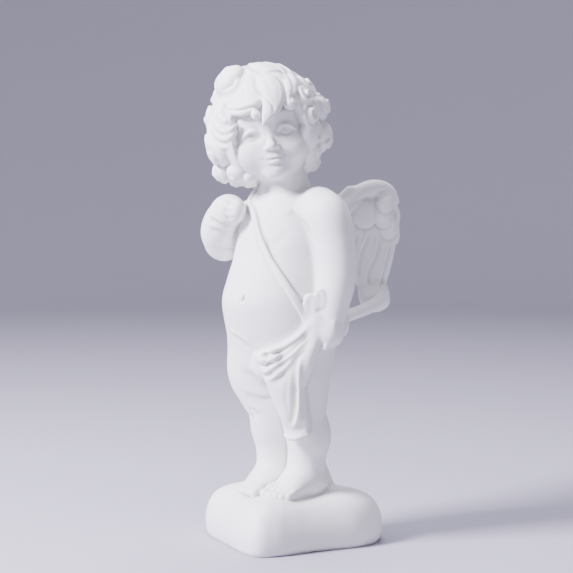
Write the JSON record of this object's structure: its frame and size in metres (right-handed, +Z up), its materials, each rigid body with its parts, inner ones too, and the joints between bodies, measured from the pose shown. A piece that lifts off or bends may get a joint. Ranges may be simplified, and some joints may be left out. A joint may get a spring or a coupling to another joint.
{
  "type": "putto statue",
  "caption": "Standing winged putto with a strap across the chest, hip cloth and a bow in its left hand, cast in one with a heart-shaped cushion base.",
  "frame": {"origin": "middle of the bounding box at the underside, on the surface the statue stands on", "axes": "+Z up; the figure's chest faces -Y and +X is its own left side"},
  "size_m": [0.1124, 0.1136, 0.2998],
  "materials": {
    "plaster": "matt cast plaster"
  },
  "bodies": {
    "root": {"putto_statue": "plaster"}
  },
  "joints": []
}
